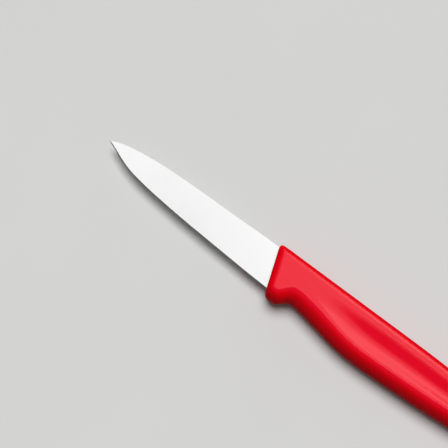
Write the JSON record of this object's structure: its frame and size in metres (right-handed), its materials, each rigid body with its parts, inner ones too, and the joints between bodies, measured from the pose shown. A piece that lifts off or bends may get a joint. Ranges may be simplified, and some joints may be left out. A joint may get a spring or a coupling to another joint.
{
  "type": "paring knife",
  "caption": "Small kitchen paring knife with a pointed ground steel blade and a red moulded plastic handle with a finger guard.",
  "frame": {"origin": "on the surface that the knife lies on, under the middle of its outline", "axes": "+X from the blade's tip to the handle's butt, +Y from the cutting edge to the spine, +Z square to the blade's side"},
  "size_m": [0.188, 0.0196, 0.013],
  "materials": {
    "steel": "finely ground and polished",
    "red_plastic": "satin moulded"
  },
  "bodies": {
    "root": {"blade": "steel", "handle": "red_plastic"}
  },
  "joints": []
}
